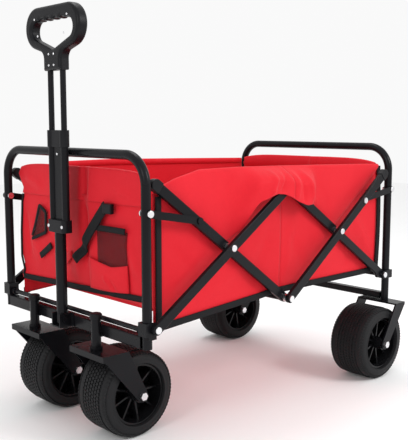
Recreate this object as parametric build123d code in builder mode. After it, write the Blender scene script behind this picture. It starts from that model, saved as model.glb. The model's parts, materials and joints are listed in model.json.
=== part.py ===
"""Folding camp wagon: two steel end frames, a pair of crossed scissor bars on each side, a fabric
basket, two swivelling front casters, two fixed rear wheels and a tilting, telescoping handle.

Frame: X runs from the front (-X, handle end) to the rear, Y across, Z up. The floor is Z = 0 and the
origin is below the middle of the overall length. Facing the way it is pulled, the left side is -Y.
All sizes are in millimetres.
"""

from build123d import *
from math import atan2, cos, hypot, sin
import os

os.makedirs("parts", exist_ok=True)

# ---- overall sizes ----
leg_spacing = 789.0  # front legs to rear legs, axis to axis
track = 504.0  # left legs to right legs, axis to axis
middle_x = 12.0  # half way between the legs, ahead of or behind the origin
top_rail_z = 578.0  # axis of both top rails
front_leg_bottom = 215.0
rear_leg_bottom = 186.0

# ---- end frames ----
frame_tube = 19.0  # outer diameter
frame_wall = 1.2
frame_bend = 58.0  # bend radius at the tube's axis
crossbar_deep = 20.0
front_crossbar_high = 24.0
rear_crossbar_high = 16.0
crossbar_wall = 1.5
crossbar_round = 2.5
rear_crossbar_up = 2.0  # above the ends of the rear legs
floor_rod = 10.0
floor_rod_z = 249.0
rod_nut = 17.0
rod_nut_long = 10.0
rod_end = 1.5  # rod beyond its nut
plate = 2.6  # thickness of brackets
bracket_high = 26.0  # front brackets, round the lowest pivots

# ---- scissor bars ----
pivot_z = 254.0  # lower pivots and centre bottom pivot
pivot_in = {"front": 8.0, "rear": 20.0}  # lower pivots, inward of the legs' axes
cross_in = 180.5  # crossing point, from the wagon's centre pivot
cross_rise = 132.6  # crossing point above the lower pivots
end_gap = {"front": 24.0, "rear": 50.0}  # free upper ends, short of the legs' axes
bar_high = 20.0
bar_thick = 10.0
bar_wall = 1.4
bar_round = 1.6
bar_solid_end = 14.0  # flattened and closed either side of each hole
outer_layer = 18.0  # middle of the outer bars, outward of the leg's axis
pin = 8.0
pin_head = 14.0
pin_head_long = 2.6
pin_head_round = 1.2
spacer_r = 9.0  # rings between the two layers of bars
open_pivot_clear = 2.2  # radial room at the top pivot, where the front and rear halves meet
centre_tube = 16.0
centre_tube_wall = 1.5

# ---- links between legs and bars ----
link_leg_z = 471.5
link_in = {"front": 124.0, "rear": 130.0}  # from the leg's axis to the link's end on the bar
link_wide = 15.0
link_thick = 2.4

# ---- wheels ----
wheel_d = 180.0
wheel_wide = 100.0
rim_r = 63.0
rim_wide = 88.0
rim_wall = 4.0
rim_ribs = 9
rib_inset = 16.0  # rib ends, inward of the rim's faces
hub_proud = 1.5  # hub beyond the tyre's faces
hub_r = 15.0
tyre_shoulder = 16.0
tyre_wall = 8.0
groove = 3.0
groove_y = 12.0  # either side of the middle
axle = 10.0
front_wheel_y = 116.0
rear_wheel_y = 245.5
caster_trail = 71.0  # wheel axle behind the swivel axis
rear_axle_in = 68.5  # rear axle ahead of the rear legs

# ---- forks and caster posts ----
fork_plate = 4.0
fork_gap = 108.0  # inside, between the arms
fork_top_z = 190.0
fork_front = 25.0  # plate ahead of the swivel axis
fork_back = 38.0
rear_fork_front = 26.0  # rear plate ahead of the rear legs
rear_fork_back = 14.0
fork_lip = 12.0
fork_tip_r = 13.0
axle_head = 17.0
axle_head_long = 6.0
post_out = 20.5  # swivel axis ahead of the front legs' axis
post_d = 20.0
post_bottom = 197.0
post_top = 258.0
stem = 12.0
cap_d = 25.0
cap_high = 12.0

# ---- handle ----
handle_out = 23.5  # handle's axis ahead of the front legs' axis
handle_pivot_z = 233.0
handle_pivot_out = 3.0  # pivot ahead of the handle's axis, so that it leans back on the rail
lower_tube = 23.0
lower_tube_top = 428.0
lower_tube_wall = 1.5
clamp_wide = 62.0
clamp_deep = 22.0
clamp_low = 414.0
clamp_high = 440.0
barrel_spacing = 45.0
barrel = 16.0
barrel_bore = 13.0
barrel_web = 5.0
barrel_top = 606.0
collar_low = 589.0
collar_high = 623.0
collar_d = 20.0
inner_tube = 12.0
inner_tube_wall = 1.2
inner_tube_bottom = 545.0
grip_bottom = 742.0
grip_top = 870.0
grip_wide = 194.0
grip_deep = 25.0
grip_bar = 28.0  # top bar, above the hole
grip_side = 23.0
grip_corner_r = 42.0
grip_low_r = 36.0
hole_corner_r = 19.0
hole_low = 784.0
hole_low_r = 18.0
grip_round = 7.0
finger_pitch = 25.0
finger_r = 15.0
finger_deep = 3.0
neck_round = 18.0
grip_neck = 62.0
grip_neck_end = 770.0  # lowest part of the ring
tube_in_grip = 22.0

# ---- fabric basket ----
fabric = 4.0
panel_in = 22.0  # end panels, inward of the legs' axis
basket_half = 238.0  # outside of the side walls
basket_bottom = 264.0
basket_top = 541.0
floor_thick = 7.0
flap_half = 75.0
flap_low = 462.0
flap_out = 28.0  # flap's inside, outward of the leg's axis

# ---- fits ----
running = 0.05  # radial, pin in a moving hole
seat = 0.02  # radial, pin in a fixed hole
gap = 0.4  # between flat faces that slide
sew = 0.3  # between fabric pieces
weld = 0.1  # between a plate and the tube that it is welded to

# ---- places worked out from the sizes ----
front_x = middle_x - leg_spacing / 2
rear_x = middle_x + leg_spacing / 2
leg_y = track / 2
tube_r = frame_tube / 2
front_pivot_x = front_x + pivot_in["front"]
rear_pivot_x = rear_x - pivot_in["rear"]
centre_x = (front_pivot_x + rear_pivot_x) / 2
half_span = centre_x - front_pivot_x
lower_reach = half_span - cross_in
rise_angle = atan2(cross_rise, lower_reach)  # outer front bar from level
fall_angle = atan2(cross_rise, cross_in)  # inner front bar from level
top_pivot_z = pivot_z + cross_rise + cross_in * cross_rise / lower_reach
ENDS = (("front", -1), ("rear", 1))
leg_x = {"front": front_x, "rear": rear_x}
end_reach = {end: (half_span + pivot_in[end] - end_gap[end]) / cos(fall_angle) for end, _ in ENDS}
link_reach = {end: (half_span + pivot_in[end] - link_in[end]) / cos(fall_angle) for end, _ in ENDS}
link_z = {end: pivot_z + link_reach[end] * sin(fall_angle) for end, _ in ENDS}
inner_face = leg_y - bar_thick / 2
inner_back = leg_y + bar_thick / 2
outer_y = leg_y + outer_layer
outer_face = outer_y + bar_thick / 2
outer_back = outer_y - bar_thick / 2
link_y = outer_back - gap - link_thick / 2
swivel_x = front_x - post_out
front_axle_x = swivel_x + caster_trail
rear_axle_x = rear_x - rear_axle_in
axle_z = wheel_d / 2
handle_x = front_x - handle_out
handle_pivot_x = handle_x - handle_pivot_out
SIDES = (("left", -1), ("right", 1))


def save(piece, name):
    """Name a finished piece and write it."""
    piece.part.label = name
    export_step(piece.part, f"parts/{name}.step")


def side_plane(x, y, z, angle=0.0, forward=1):
    """A plane that stands along the wagon at y; its x axis points rearward (or forward) and up."""
    return Plane(origin=(x, y, z), x_dir=(forward * cos(angle), 0, sin(angle)), z_dir=(0, -forward, 0))


def across(x, y, z):
    """A plane at y whose x axis is +X and y axis is +Z, for pins and tubes that run across the wagon."""
    return Plane(origin=(x, y, z), x_dir=(1, 0, 0), z_dir=(0, -1, 0))


# ---- end frames: one bent tube each, open below ----
for end, toward in ENDS:
    x = leg_x[end]
    bottom = front_leg_bottom if end == "front" else rear_leg_bottom
    with BuildPart() as end_frame:
        with BuildLine(Plane.YZ.offset(x)) as path:
            FilletPolyline(
                (-leg_y, bottom), (-leg_y, top_rail_z), (leg_y, top_rail_z), (leg_y, bottom),
                radius=frame_bend,
            )
        with BuildSketch(Plane(origin=(x, -leg_y, bottom), z_dir=(0, 0, 1))):
            Circle(tube_r)
            Circle(tube_r - frame_wall, mode=Mode.SUBTRACT)
        sweep(path=path.wires()[0])
        with BuildSketch(across(x, 0, link_leg_z)) as pin_holes:
            Circle(pin / 2 + seat)
        extrude(amount=track, both=True, mode=Mode.SUBTRACT)
    save(end_frame, f"{end}_frame_tube")

# ---- crossbars between the leg bottoms ----
for end, toward in ENDS:
    x = leg_x[end]
    high = front_crossbar_high if end == "front" else rear_crossbar_high
    bottom = front_leg_bottom if end == "front" else rear_leg_bottom + rear_crossbar_up
    reach = leg_y - tube_r - weld
    with BuildPart() as crossbar:
        with BuildSketch(across(x, 0, bottom + high / 2)):
            RectangleRounded(crossbar_deep, high, crossbar_round)
            RectangleRounded(
                crossbar_deep - 2 * crossbar_wall, high - 2 * crossbar_wall, crossbar_round - crossbar_wall,
                mode=Mode.SUBTRACT,
            )
        extrude(amount=reach, both=True)
    save(crossbar, f"{end}_crossbar")

# ---- rods that carry the ends of the floor, with a nut run tight against each leg ----
for end, toward in ENDS:
    x = leg_x[end]
    reach = leg_y - tube_r - plate - weld
    with BuildPart() as rod:
        with BuildSketch(across(x, 0, floor_rod_z)):
            Circle(floor_rod / 2)
        extrude(amount=reach, both=True)
        for side in (-1, 1):
            with BuildSketch(across(x, side * (reach - rod_end - rod_nut_long / 2), floor_rod_z)):
                RegularPolygon(rod_nut / 2, 6)
            extrude(amount=rod_nut_long / 2, both=True)
    save(rod, f"{end}_floor_rod")

cheek = tube_r + plate / 2 + weld / 2  # from the leg's axis to the middle of a bracket's cheek

# ---- pivot brackets: folded plate round each leg's foot, with ears for the lowest pivot ----
with BuildPart() as front_brackets:
    for side in (-1, 1):
        for y in (side * (leg_y - cheek), side * (leg_y + cheek)):
            with BuildSketch(across(front_x, y, pivot_z)):
                Rectangle(frame_tube + 2 * plate + 2 * weld, bracket_high)
            extrude(amount=plate / 2, both=True)
        with BuildSketch(across(front_x, side * leg_y, pivot_z)):
            with Locations((-tube_r - plate / 2 - weld, 0)):
                Rectangle(plate, bracket_high)
        extrude(amount=tube_r + plate + weld / 2, both=True)
        with BuildSketch(across(front_pivot_x, side * (leg_y + cheek), pivot_z)):
            Circle(bar_high / 2)
            with Locations((-pivot_in["front"] / 2, -bar_high / 2)):
                Rectangle(pivot_in["front"] + bar_high / 2, bar_high)
        extrude(amount=plate / 2, both=True)
save(front_brackets, "front_pivot_brackets")

with BuildPart() as rear_brackets:
    for side in (-1, 1):
        for y in (side * (leg_y - cheek), side * (leg_y + cheek)):
            with BuildSketch(across(rear_pivot_x, y, pivot_z)):
                Circle(bar_high / 2)
                ear_long = pivot_in["rear"] + tube_r + plate + weld
                with Locations((ear_long / 2, 0)):
                    Rectangle(ear_long, bar_high)
                Circle(pin / 2 + seat, mode=Mode.SUBTRACT)
            extrude(amount=plate / 2, both=True)
        with BuildSketch(across(rear_x + tube_r + plate / 2 + weld, side * leg_y, pivot_z)):
            Rectangle(plate, bar_high)
        extrude(amount=tube_r + plate + weld / 2, both=True)
save(rear_brackets, "rear_pivot_brackets")

# ---- fixed pins: lowest pivots, and the links' upper pivots on the legs ----
with BuildPart() as front_studs:
    for side in (-1, 1):
        root_y = leg_y + cheek + plate / 2 + seat
        with BuildSketch(across(front_pivot_x, side * (root_y + outer_face + gap) / 2, pivot_z)):
            Circle(pin / 2)
        extrude(amount=(outer_face + gap - root_y) / 2, both=True)
        with BuildSketch(across(front_pivot_x, side * (outer_face + gap + pin_head_long / 2), pivot_z)):
            Circle(pin_head / 2)
        extrude(amount=pin_head_long / 2, both=True)
    rims = front_studs.edges().filter_by(GeomType.CIRCLE).group_by(Axis.Y)
    fillet(rims[0] + rims[-1], pin_head_round)


def headed_pin(x, z, inside, outside):
    """A pin across one side of the wagon, with a low head at each end, for both sides."""
    with BuildPart() as pair:
        for side in (-1, 1):
            with BuildSketch(across(x, side * (inside + outside) / 2, z)):
                Circle(pin / 2)
            extrude(amount=(outside - inside) / 2, both=True)
            for y in (inside - pin_head_long / 2, outside + pin_head_long / 2):
                with BuildSketch(across(x, side * y, z)):
                    Circle(pin_head / 2)
                extrude(amount=pin_head_long / 2, both=True)
        rims = pair.edges().filter_by(GeomType.CIRCLE).group_by(Axis.Y)
        fillet(rims[0] + rims[-1], pin_head_round)
    return pair


bracket_out = leg_y + tube_r + plate + weld
bracket_in = leg_y - tube_r - plate - weld
link_pin_in = leg_y - tube_r - weld
link_pin_out = link_y + link_thick / 2 + gap
front_link_pair = headed_pin(front_x, link_leg_z, link_pin_in, link_pin_out)
rear_link_pair = headed_pin(rear_x, link_leg_z, link_pin_in, link_pin_out)
rear_lower_pair = headed_pin(rear_pivot_x, pivot_z, bracket_in, bracket_out)
with BuildPart() as front_pins:
    add(front_studs.part)
    add(front_link_pair.part)
save(front_pins, "front_frame_pins")
with BuildPart() as rear_pins:
    add(rear_lower_pair.part)
    add(rear_link_pair.part)
save(rear_pins, "rear_frame_pins")


# ---- scissor bars: rectangular tube with rounded, closed ends ----
def bar(plane, length, holes):
    """A bar from the plane's origin along its x axis; holes are (distance, radius)."""
    with BuildPart() as made:
        with BuildSketch(plane):
            with Locations((length / 2, 0)):
                SlotCenterToCenter(length, bar_high)
        extrude(amount=bar_thick / 2, both=True)
        fillet(made.faces().filter_by(Axis.Y).edges(), bar_round)
        marks = sorted(distance for distance, radius in holes)
        for start, stop in zip(marks, marks[1:] + [length]):
            if stop - start > 3 * bar_solid_end:
                with BuildSketch(plane):
                    with Locations(((start + stop) / 2, 0)):
                        Rectangle(stop - start - 2 * bar_solid_end, bar_high - 2 * bar_wall)
                extrude(amount=bar_thick / 2 - bar_wall, both=True, mode=Mode.SUBTRACT)
        with BuildSketch(plane):
            for distance, radius in holes:
                with Locations((distance, 0)):
                    Circle(radius)
        extrude(amount=bar_thick, both=True, mode=Mode.SUBTRACT)
    return made


outer_lower = lower_reach / cos(rise_angle)
outer_long = half_span / cos(rise_angle)
inner_lower = cross_in / cos(fall_angle)
fixed = pin / 2 + seat
moving = pin / 2 + running
meeting = pin / 2 + open_pivot_clear
for side_name, side in SIDES:
    # outer front bar: front lower pivot to the top pivot
    outer_front = bar(
        side_plane(front_pivot_x, side * outer_y, pivot_z, rise_angle), outer_long,
        [(0, moving), (outer_lower, fixed), (outer_long, moving)],
    )
    save(outer_front, f"{side_name}_front_outer_bar")
    # inner front bar: centre pivot to its free upper end beside the front leg
    inner_front = bar(
        side_plane(centre_x, side * leg_y, pivot_z, fall_angle, -1), end_reach["front"],
        [(0, fixed), (inner_lower, moving), (link_reach["front"], fixed)],
    )
    save(inner_front, f"{side_name}_front_inner_bar")
    # outer rear bar: centre pivot to its free upper end beside the rear leg
    outer_rear = bar(
        side_plane(centre_x, side * outer_y, pivot_z, fall_angle), end_reach["rear"],
        [(0, moving), (inner_lower, fixed), (link_reach["rear"], fixed)],
    )
    save(outer_rear, f"{side_name}_rear_outer_bar")
    # inner rear bar: rear lower pivot to the top pivot
    inner_rear = bar(
        side_plane(rear_pivot_x, side * leg_y, pivot_z, rise_angle, -1), outer_long,
        [(0, moving), (outer_lower, moving), (outer_long, meeting)],
    )
    save(inner_rear, f"{side_name}_rear_inner_bar")

# ---- pins of the outer bars: the crossings, and on the rear bars the ends of the links ----
for end, toward in ENDS:
    cross_x = centre_x + toward * cross_in
    pair = headed_pin(cross_x, pivot_z + cross_rise, inner_face - gap, outer_face + seat)
    with BuildPart() as bar_pins:
        add(pair.part)
        for side in (-1, 1):
            spacer_y = side * (inner_back + outer_back) / 2
            with BuildSketch(across(cross_x, spacer_y, pivot_z + cross_rise)):
                Circle(spacer_r)
            extrude(amount=(outer_back - inner_back) / 2 - gap, both=True)
            if end == "rear":
                pin_x = rear_x - link_in["rear"]
                with BuildSketch(across(pin_x, side * (outer_y + gap / 2), link_z["rear"])):
                    Circle(pin / 2)
                extrude(amount=bar_thick / 2 - gap / 2, both=True)
                head_y = side * (outer_face + seat + pin_head_long / 2)
                with BuildSketch(across(pin_x, head_y, link_z["rear"])):
                    Circle(pin_head / 2)
                extrude(amount=pin_head_long / 2 + seat, both=True)
    save(bar_pins, f"{end}_bar_pins")

# ---- centre bottom: a tube across, closed by the bolts on which both pairs of bars turn ----
with BuildPart() as centre:
    with BuildSketch(across(centre_x, 0, pivot_z)):
        Circle(centre_tube / 2)
        Circle(centre_tube / 2 - centre_tube_wall, mode=Mode.SUBTRACT)
    extrude(amount=inner_face - seat, both=True)
save(centre, "centre_cross_tube")
with BuildPart() as centre_bolts:
    for side in (-1, 1):
        bolt_in, bolt_out = inner_face - 30, outer_face + gap
        with BuildSketch(across(centre_x, side * (bolt_in + bolt_out) / 2, pivot_z)):
            Circle(pin / 2)
        extrude(amount=(bolt_out - bolt_in) / 2, both=True)
        with BuildSketch(across(centre_x, side * (bolt_in + inner_face - gap) / 2, pivot_z)):
            Circle(centre_tube / 2 - centre_tube_wall - seat)
        extrude(amount=(inner_face - gap - bolt_in) / 2, both=True)
        with BuildSketch(across(centre_x, side * (bolt_out + pin_head_long / 2), pivot_z)):
            Circle(pin_head / 2)
        extrude(amount=pin_head_long / 2, both=True)
        with BuildSketch(across(centre_x, side * (inner_back + outer_back) / 2, pivot_z)):
            Circle(spacer_r)
        extrude(amount=(outer_back - inner_back) / 2 - gap, both=True)
save(centre_bolts, "centre_bolts")

# ---- top pivots: pin and spacer where the front and rear bars meet under the fabric flap ----
top_pair = headed_pin(centre_x, top_pivot_z, inner_face - gap, outer_face + gap)
with BuildPart() as top_pins:
    add(top_pair.part)
    for side in (-1, 1):
        with BuildSketch(across(centre_x, side * (inner_back + outer_back) / 2, top_pivot_z)):
            Circle(spacer_r)
        extrude(amount=(outer_back - inner_back) / 2 - gap, both=True)
save(top_pins, "top_pivot_pins")

# ---- plastic caps round the free upper ends of the bars ----
for end, toward in ENDS:
    layer = leg_y if end == "front" else outer_y
    reach = end_reach[end]
    with BuildPart() as caps:
        for side in (-1, 1):
            plane = side_plane(centre_x, side * layer, pivot_z, fall_angle, toward)
            with BuildSketch(plane):
                with Locations((reach - bar_high / 8, 0)):
                    SlotCenterToCenter(bar_high / 2, bar_high + 3)
                with Locations((reach - bar_high, 0)):
                    Rectangle(bar_high, bar_high * 2, mode=Mode.SUBTRACT)
            extrude(amount=bar_thick / 2 + 1.4, both=True)
            fillet(caps.edges().group_by(Axis.Y)[0 if side < 0 else -1], pin_head_round)
            with BuildSketch(plane):
                with Locations((reach / 2, 0)):
                    SlotCenterToCenter(reach, bar_high + 2 * seat)
            extrude(amount=bar_thick / 2 + seat, both=True, mode=Mode.SUBTRACT)
    save(caps, f"{end}_bar_caps")

# ---- links: flat steel from each leg to the bar beside it ----
# The front link lies over the inner bar; its riveted stud has a collar behind that stops short of the bar.
# The rear link lies behind the outer bar, whose own pin stops short of the link.
for end, toward in ENDS:
    x = leg_x[end]
    link_drop = link_leg_z - link_z[end]
    link_long = hypot(link_in[end], link_drop)
    with BuildPart() as links:
        for side in (-1, 1):
            tilt = -atan2(link_drop, link_in[end])
            with BuildSketch(side_plane(x, side * link_y, link_leg_z, tilt, -toward)):
                with Locations((link_long / 2, 0)):
                    SlotCenterToCenter(link_long, link_wide)
                Circle(moving, mode=Mode.SUBTRACT)
            extrude(amount=link_thick / 2, both=True)
            if end == "front":
                stud_in = inner_back + gap
                stud_out = link_y + link_thick / 2 + pin_head_long
                with BuildSketch(across(x + link_in[end], side * (stud_in + stud_out) / 2, link_z[end])):
                    Circle(pin_head / 2)
                extrude(amount=(stud_out - stud_in) / 2, both=True)
    save(links, f"{end}_links")

# ---- front caster posts, welded to the front of the crossbar ----
with BuildPart() as posts:
    for side in (-1, 1):
        with BuildSketch(Plane.XY.offset(post_bottom)):
            with Locations((swivel_x, side * front_wheel_y)):
                Circle(post_d / 2)
        extrude(amount=post_top - post_bottom)
        with BuildSketch(Plane.XY.offset(front_leg_bottom)):
            with Locations(((swivel_x + front_x - crossbar_deep / 2) / 2, side * front_wheel_y)):
                Rectangle(post_out - crossbar_deep / 2 - weld, post_d * 0.8)
        extrude(amount=front_crossbar_high)
        with BuildSketch(Plane.XY.offset(post_bottom)):
            with Locations((swivel_x, side * front_wheel_y)):
                Circle(stem / 2 + running)
        extrude(amount=post_top - post_bottom, mode=Mode.SUBTRACT)
save(posts, "caster_posts")

# ---- plastic mushroom caps over the posts ----
with BuildPart() as post_caps:
    for side in (-1, 1):
        with BuildSketch(Plane.XY.offset(post_top - cap_high / 2)):
            with Locations((swivel_x, side * front_wheel_y)):
                Circle(cap_d / 2)
        extrude(amount=cap_high)
    fillet(post_caps.faces().sort_by(Axis.Z)[-2:].edges(), 4.5)
    for side in (-1, 1):
        with BuildSketch(Plane.XY.offset(post_top - cap_high / 2)):
            with Locations((swivel_x, side * front_wheel_y)):
                Circle(post_d / 2 + seat)
        extrude(amount=cap_high / 2 + 1, mode=Mode.SUBTRACT)
save(post_caps, "caster_caps")

# ---- thrust washers between posts and forks ----
with BuildPart() as washers:
    for side in (-1, 1):
        with BuildSketch(Plane.XY.offset(fork_top_z + gap)):
            with Locations((swivel_x, side * front_wheel_y)):
                Circle(cap_d / 2)
                Circle(stem / 2 + running, mode=Mode.SUBTRACT)
        extrude(amount=post_bottom - fork_top_z - gap)
save(washers, "caster_washers")

# ---- forks: plate, two tapering arms and, on the casters, a stem and a folded front lip ----
arm_y = fork_gap / 2 + fork_plate / 2


def fork(x, y, top, front, back, axle_x):
    """A wheel fork with its plate's top at z = top; front and back are the plate's ends from x."""
    with BuildPart() as made:
        with BuildSketch(Plane.XY.offset(top - fork_plate)):
            with Locations((x + (back - front) / 2, y)):
                Rectangle(front + back, fork_gap + 2 * fork_plate)
        extrude(amount=fork_plate)
        for side in (-1, 1):
            with BuildSketch(across(0, y + side * arm_y, 0)):
                with Locations((axle_x, axle_z)):
                    Circle(fork_tip_r)
                with Locations((x + (back - front) / 2, top - fork_plate)):
                    Rectangle(front + back, fork_plate)
                make_hull()
            extrude(amount=fork_plate / 2, both=True)
            with BuildSketch(across(axle_x, y + side * arm_y, axle_z)):
                Circle(axle / 2 + seat)
            extrude(amount=fork_plate, both=True, mode=Mode.SUBTRACT)
    return made


for side_name, side in SIDES:
    y = side * front_wheel_y
    body = fork(swivel_x, y, fork_top_z, fork_front, fork_back, front_axle_x)
    with BuildPart() as caster_fork:
        add(body.part)
        with BuildSketch(Plane.XY.offset(fork_top_z - fork_plate)):
            with Locations((swivel_x, y)):
                Circle(stem / 2)
        extrude(amount=post_top - fork_top_z + fork_plate)
        with BuildSketch(Plane.XY.offset(fork_top_z - fork_lip)):
            with Locations((swivel_x - fork_front + fork_plate / 2, y)):
                Rectangle(fork_plate, fork_gap + 2 * fork_plate)
        extrude(amount=fork_lip)
    save(caster_fork, f"{side_name}_caster_fork")
fork_pair = [
    fork(rear_x, side * rear_wheel_y, rear_leg_bottom, rear_fork_front, rear_fork_back, rear_axle_x)
    for side_name, side in SIDES
]
with BuildPart() as rear_forks:
    for body in fork_pair:
        add(body.part)
save(rear_forks, "rear_forks")


# ---- axles: bolt with a domed head and a nut ----
def axle_bolt(x, y):
    """One wheel's axle, head outward."""
    with BuildPart() as made:
        reach = fork_gap / 2 + fork_plate
        with BuildSketch(across(x, y, axle_z)):
            Circle(axle / 2)
        extrude(amount=reach + axle_head_long / 2, both=True)
        for side in (-1, 1):
            with BuildSketch(across(x, y + side * (reach + axle_head_long / 2 + seat), axle_z)):
                RegularPolygon(axle_head / 2, 6)
            extrude(amount=axle_head_long / 2, both=True)
    return made


for side_name, side in SIDES:
    save(axle_bolt(front_axle_x, side * front_wheel_y), f"{side_name}_caster_axle")
axle_pair = [axle_bolt(rear_axle_x, side * rear_wheel_y) for side_name, side in SIDES]
with BuildPart() as rear_axles:
    for bolt in axle_pair:
        add(bolt.part)
save(rear_axles, "rear_axles")

# ---- wheels: ribbed plastic rim and a wide tyre ----
WHEELS = [(f"{name}_front", front_axle_x, side * front_wheel_y) for name, side in SIDES]
WHEELS += [(f"{name}_rear", rear_axle_x, side * rear_wheel_y) for name, side in SIDES]
for wheel_name, x, y in WHEELS:
    with BuildPart() as rim:
        with BuildSketch(across(x, y, axle_z)):
            Circle(rim_r)
            Circle(rim_r - rim_wall, mode=Mode.SUBTRACT)
        extrude(amount=rim_wide / 2, both=True)
        with BuildSketch(across(x, y, axle_z)):
            Circle(rim_r - rim_wall / 2)
        extrude(amount=rim_wall / 2, both=True)
        with BuildSketch(across(x, y, axle_z)):
            Circle(hub_r)
        extrude(amount=wheel_wide / 2 + hub_proud, both=True)
        with BuildSketch(across(x, y, axle_z)):
            with PolarLocations((hub_r + rim_r - rim_wall) / 2, rim_ribs):
                Rectangle(rim_r - rim_wall - hub_r + 3, rim_wall)
        extrude(amount=rim_wide / 2 - rib_inset, both=True)
        with BuildSketch(across(x, y, axle_z)):
            Circle(axle / 2 + running)
        extrude(amount=wheel_wide, both=True, mode=Mode.SUBTRACT)
    save(rim, f"{wheel_name}_rim")
    with BuildPart() as tyre:
        with BuildSketch(Plane(origin=(x, y, axle_z), x_dir=(0, 1, 0), z_dir=(1, 0, 0))):
            with Locations((0, (wheel_d / 2 + rim_r) / 2)):
                Rectangle(wheel_wide, wheel_d / 2 - rim_r - 2 * seat)
            fillet(vertices().group_by(Axis.Y)[-1], tyre_shoulder)
            with Locations((-groove_y, wheel_d / 2), (groove_y, wheel_d / 2)):
                Rectangle(groove, 2 * groove, mode=Mode.SUBTRACT)
            with Locations((0, (wheel_d / 2 - tyre_wall + rim_r) / 2)):
                Rectangle(wheel_wide - 3 * tyre_wall, wheel_d / 2 - tyre_wall - rim_r + 1, mode=Mode.SUBTRACT)
        revolve(axis=Axis((x, y, axle_z), (0, 1, 0)))
    save(tyre, f"{wheel_name}_tyre")

# ---- handle bracket on the front crossbar, its pivot bolt and the lower tube ----
ear_gap = lower_tube / 2 + 1.0
crossbar_front = front_x - crossbar_deep / 2
bracket_bottom = front_leg_bottom + 1.0
ear_reach = crossbar_front - handle_pivot_x + lower_tube / 2 + 2
with BuildPart() as handle_bracket:
    with BuildSketch(Plane.XY.offset(bracket_bottom)):
        with Locations((crossbar_front - ear_reach / 2, 0)):
            Rectangle(ear_reach, 2 * (ear_gap + plate))
            Rectangle(ear_reach, 2 * ear_gap, mode=Mode.SUBTRACT)
        for side in (-1, 1):
            with Locations((crossbar_front - plate / 2 - weld, side * (ear_gap + plate + 5))):
                Rectangle(plate, 10)
    extrude(amount=handle_pivot_z + lower_tube / 2 - bracket_bottom)
    with BuildSketch(Plane.XY.offset(bracket_bottom)):
        with Locations((crossbar_front - ear_reach / 2, 0)):
            Rectangle(ear_reach, 2 * (ear_gap + plate))
    extrude(amount=plate)
    with BuildSketch(across(handle_pivot_x, 0, handle_pivot_z)):
        Circle(pin / 2 + seat)
    extrude(amount=ear_gap * 2, both=True, mode=Mode.SUBTRACT)
save(handle_bracket, "handle_bracket")
with BuildPart() as handle_bolt:
    reach = ear_gap + plate + gap
    with BuildSketch(across(handle_pivot_x, 0, handle_pivot_z)):
        Circle(pin / 2)
    extrude(amount=reach, both=True)
    for side in (-1, 1):
        with BuildSketch(across(handle_pivot_x, side * (reach + 2), handle_pivot_z)):
            RegularPolygon(pin_head / 2, 6)
        extrude(amount=2, both=True)
save(handle_bolt, "handle_pivot_bolt")

foot_r = lower_tube / 2 + 0.5
with BuildPart() as tube:
    with BuildSketch(Plane.XY.offset(handle_pivot_z - foot_r)):
        with Locations((handle_x, 0)):
            Circle(lower_tube / 2)
    extrude(amount=lower_tube_top + foot_r - handle_pivot_z)
    # the foot is rounded about the pivot, so that the handle can swing down
    with BuildSketch(across(handle_pivot_x, 0, handle_pivot_z)):
        with Locations((0, -foot_r)):
            Rectangle(4 * foot_r, 2 * foot_r)
        Circle(foot_r, mode=Mode.SUBTRACT)
    extrude(amount=lower_tube, both=True, mode=Mode.SUBTRACT)
    with BuildSketch(Plane.XY.offset(handle_pivot_z + 25)):
        with Locations((handle_x, 0)):
            Circle(lower_tube / 2 - lower_tube_wall)
    extrude(amount=lower_tube_top, mode=Mode.SUBTRACT)
    with BuildSketch(across(handle_pivot_x, 0, handle_pivot_z)):
        Circle(pin / 2 + running)
    extrude(amount=lower_tube, both=True, mode=Mode.SUBTRACT)
save(tube, "handle_lower_tube")

# ---- clamp that joins the single lower tube to the twin barrels ----
BARRELS = ((handle_x, -barrel_spacing / 2), (handle_x, barrel_spacing / 2))
with BuildPart() as clamp:
    with BuildSketch(Plane.XY.offset(clamp_low)):
        with Locations((handle_x, 0)):
            RectangleRounded(clamp_deep + 3, clamp_wide, 9)
    extrude(amount=clamp_high - clamp_low)
    fillet(clamp.faces().sort_by(Axis.Z)[-1].outer_wire().edges(), 1.5)
    fillet(clamp.faces().sort_by(Axis.Z)[0].outer_wire().edges(), 1.5)
    with BuildSketch(Plane.XY.offset(clamp_low)):
        with Locations((handle_x, 0)):
            Circle(lower_tube / 2 + seat)
    extrude(amount=lower_tube_top - clamp_low, mode=Mode.SUBTRACT)
    with BuildSketch(Plane.XY.offset(lower_tube_top)):
        with Locations(*BARRELS):
            Circle(barrel / 2 + seat)
        with Locations((handle_x, 0)):
            Rectangle(barrel_web + 2 * seat, barrel_spacing)
    extrude(amount=clamp_high - lower_tube_top, mode=Mode.SUBTRACT)
save(clamp, "handle_clamp")

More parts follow.
